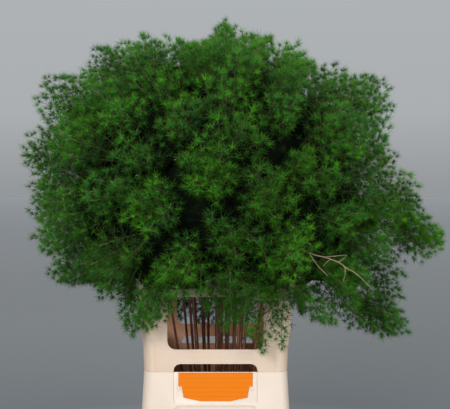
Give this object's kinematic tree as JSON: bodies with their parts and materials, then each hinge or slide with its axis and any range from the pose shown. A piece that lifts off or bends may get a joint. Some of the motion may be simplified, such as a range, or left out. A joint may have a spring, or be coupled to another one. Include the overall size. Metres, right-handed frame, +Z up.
{
  "type": "foxtail fern",
  "caption": "Dense ball-shaped bunch of cut fine-needled fern stems, standing in water in a rectangular flower bucket with a windowed collar and a blank label card.",
  "frame": {"origin": "centre of the bucket's flat base, on the floor", "axes": "+Z up along the stems, -Y towards the front with the label card, +X to the right of someone who faces the label"},
  "size_m": [0.9006, 0.8622, 1.0316],
  "materials": {
    "bucket_plastic": "moulded cream polypropylene, satin",
    "collar_plastic": "moulded cream polypropylene, satin, a little yellower",
    "card": "orange card, matt, bare",
    "water": "clear still water",
    "brown_stem": "brown bark, dull",
    "green_needles": "dark green needles, dull"
  },
  "bodies": {
    "root": {"bucket": "bucket_plastic", "collar": "collar_plastic", "label_card": "card", "water": "water", "stem_01": "brown_stem", "stem_02": "brown_stem", "stem_03": "brown_stem", "stem_04": "brown_stem", "stem_05": "brown_stem", "stem_06": "brown_stem", "stem_07": "brown_stem", "stem_08": "brown_stem", "stem_09": "brown_stem", "stem_10": "brown_stem", "stem_11": "brown_stem", "stem_12": "brown_stem", "stem_13": "brown_stem", "stem_14": "brown_stem", "stem_15": "brown_stem", "stem_16": "brown_stem", "stem_17": "brown_stem", "stem_18": "brown_stem", "stem_19": "brown_stem", "stem_20": "brown_stem", "stem_21": "brown_stem", "stem_22": "brown_stem", "stem_23": "brown_stem", "stem_24": "brown_stem", "stem_25": "brown_stem", "stem_26": "brown_stem", "frond_01": "green_needles", "frond_02": "green_needles", "frond_03": "green_needles", "frond_04": "green_needles", "frond_05": "green_needles", "frond_06": "green_needles", "frond_07": "green_needles", "frond_08": "green_needles", "frond_09": "green_needles", "frond_10": "green_needles", "frond_11": "green_needles", "frond_12": "green_needles", "frond_13": "green_needles", "frond_14": "green_needles", "frond_15": "green_needles", "frond_16": "green_needles", "frond_17": "green_needles", "frond_18": "green_needles", "frond_19": "green_needles", "frond_20": "green_needles", "frond_21": "green_needles", "frond_22": "green_needles", "frond_23": "green_needles", "frond_24": "green_needles", "frond_25": "green_needles", "frond_26": "green_needles"}
  },
  "joints": []
}
